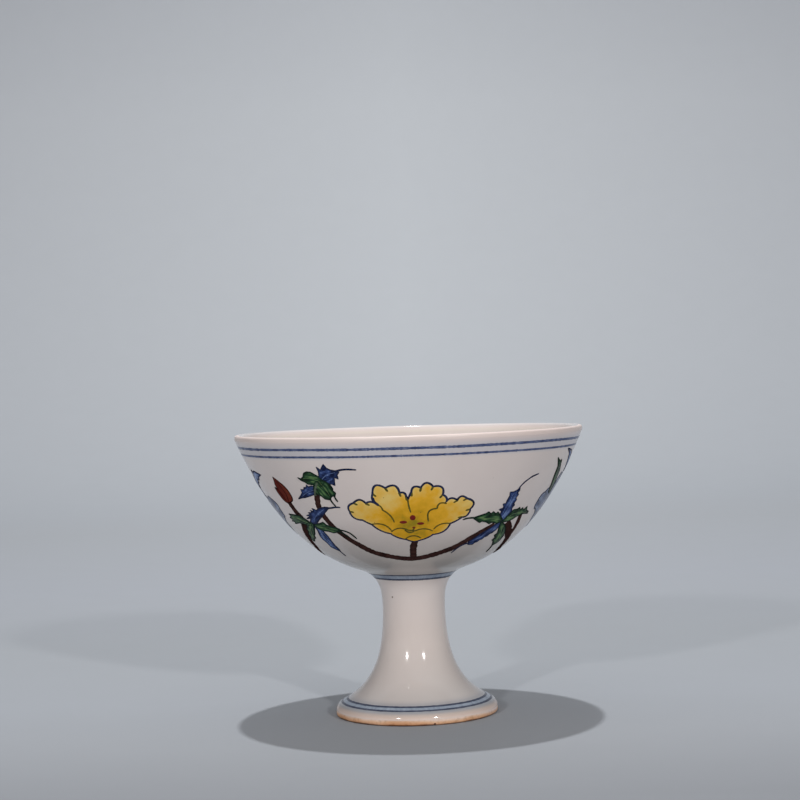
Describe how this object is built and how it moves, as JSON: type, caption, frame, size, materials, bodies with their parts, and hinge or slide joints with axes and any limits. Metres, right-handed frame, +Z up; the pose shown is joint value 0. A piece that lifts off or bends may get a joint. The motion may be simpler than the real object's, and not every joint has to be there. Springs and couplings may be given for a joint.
{
  "type": "stem cup",
  "caption": "Porcelain stem cup: a flared bowl luted to a hollow stem with a spreading foot, glazed, with cobalt lines and a painted flower scroll.",
  "frame": {"origin": "Middle of the foot's underside, on the table.", "axes": "+Z up along the axis of the cup; the yellow flower at the front of the scroll faces -Y."},
  "size_m": [0.086, 0.086, 0.0702],
  "materials": {
    "clay": "fired white porcelain body",
    "slip": "fired joining slip",
    "glaze": "clear warm-white gloss glaze",
    "cobalt_line": "cobalt brush line in the glaze",
    "cobalt_outline": "dark cobalt brush outline",
    "yellow_enamel": "gloss yellow enamel",
    "blue_wash": "pale cobalt wash",
    "red_enamel": "iron-red enamel",
    "brown_enamel": "dark aubergine-brown enamel",
    "green_enamel": "translucent green enamel",
    "blue_enamel": "cobalt blue, gloss"
  },
  "bodies": {
    "root": {"bowl": "clay", "stem": "clay", "luting_slip": "slip", "glaze": "glaze", "hollow_glaze": "glaze", "lip_lines": "cobalt_line", "neck_lines": "cobalt_line", "foot_lines": "cobalt_line", "petal_outlines": "cobalt_outline", "yellow_petals": "yellow_enamel", "blue_petals": "blue_wash", "stamens": "red_enamel", "vine": "brown_enamel", "green_leaves": "green_enamel", "blue_leaves": "blue_enamel", "red_buds": "red_enamel"}
  },
  "joints": []
}
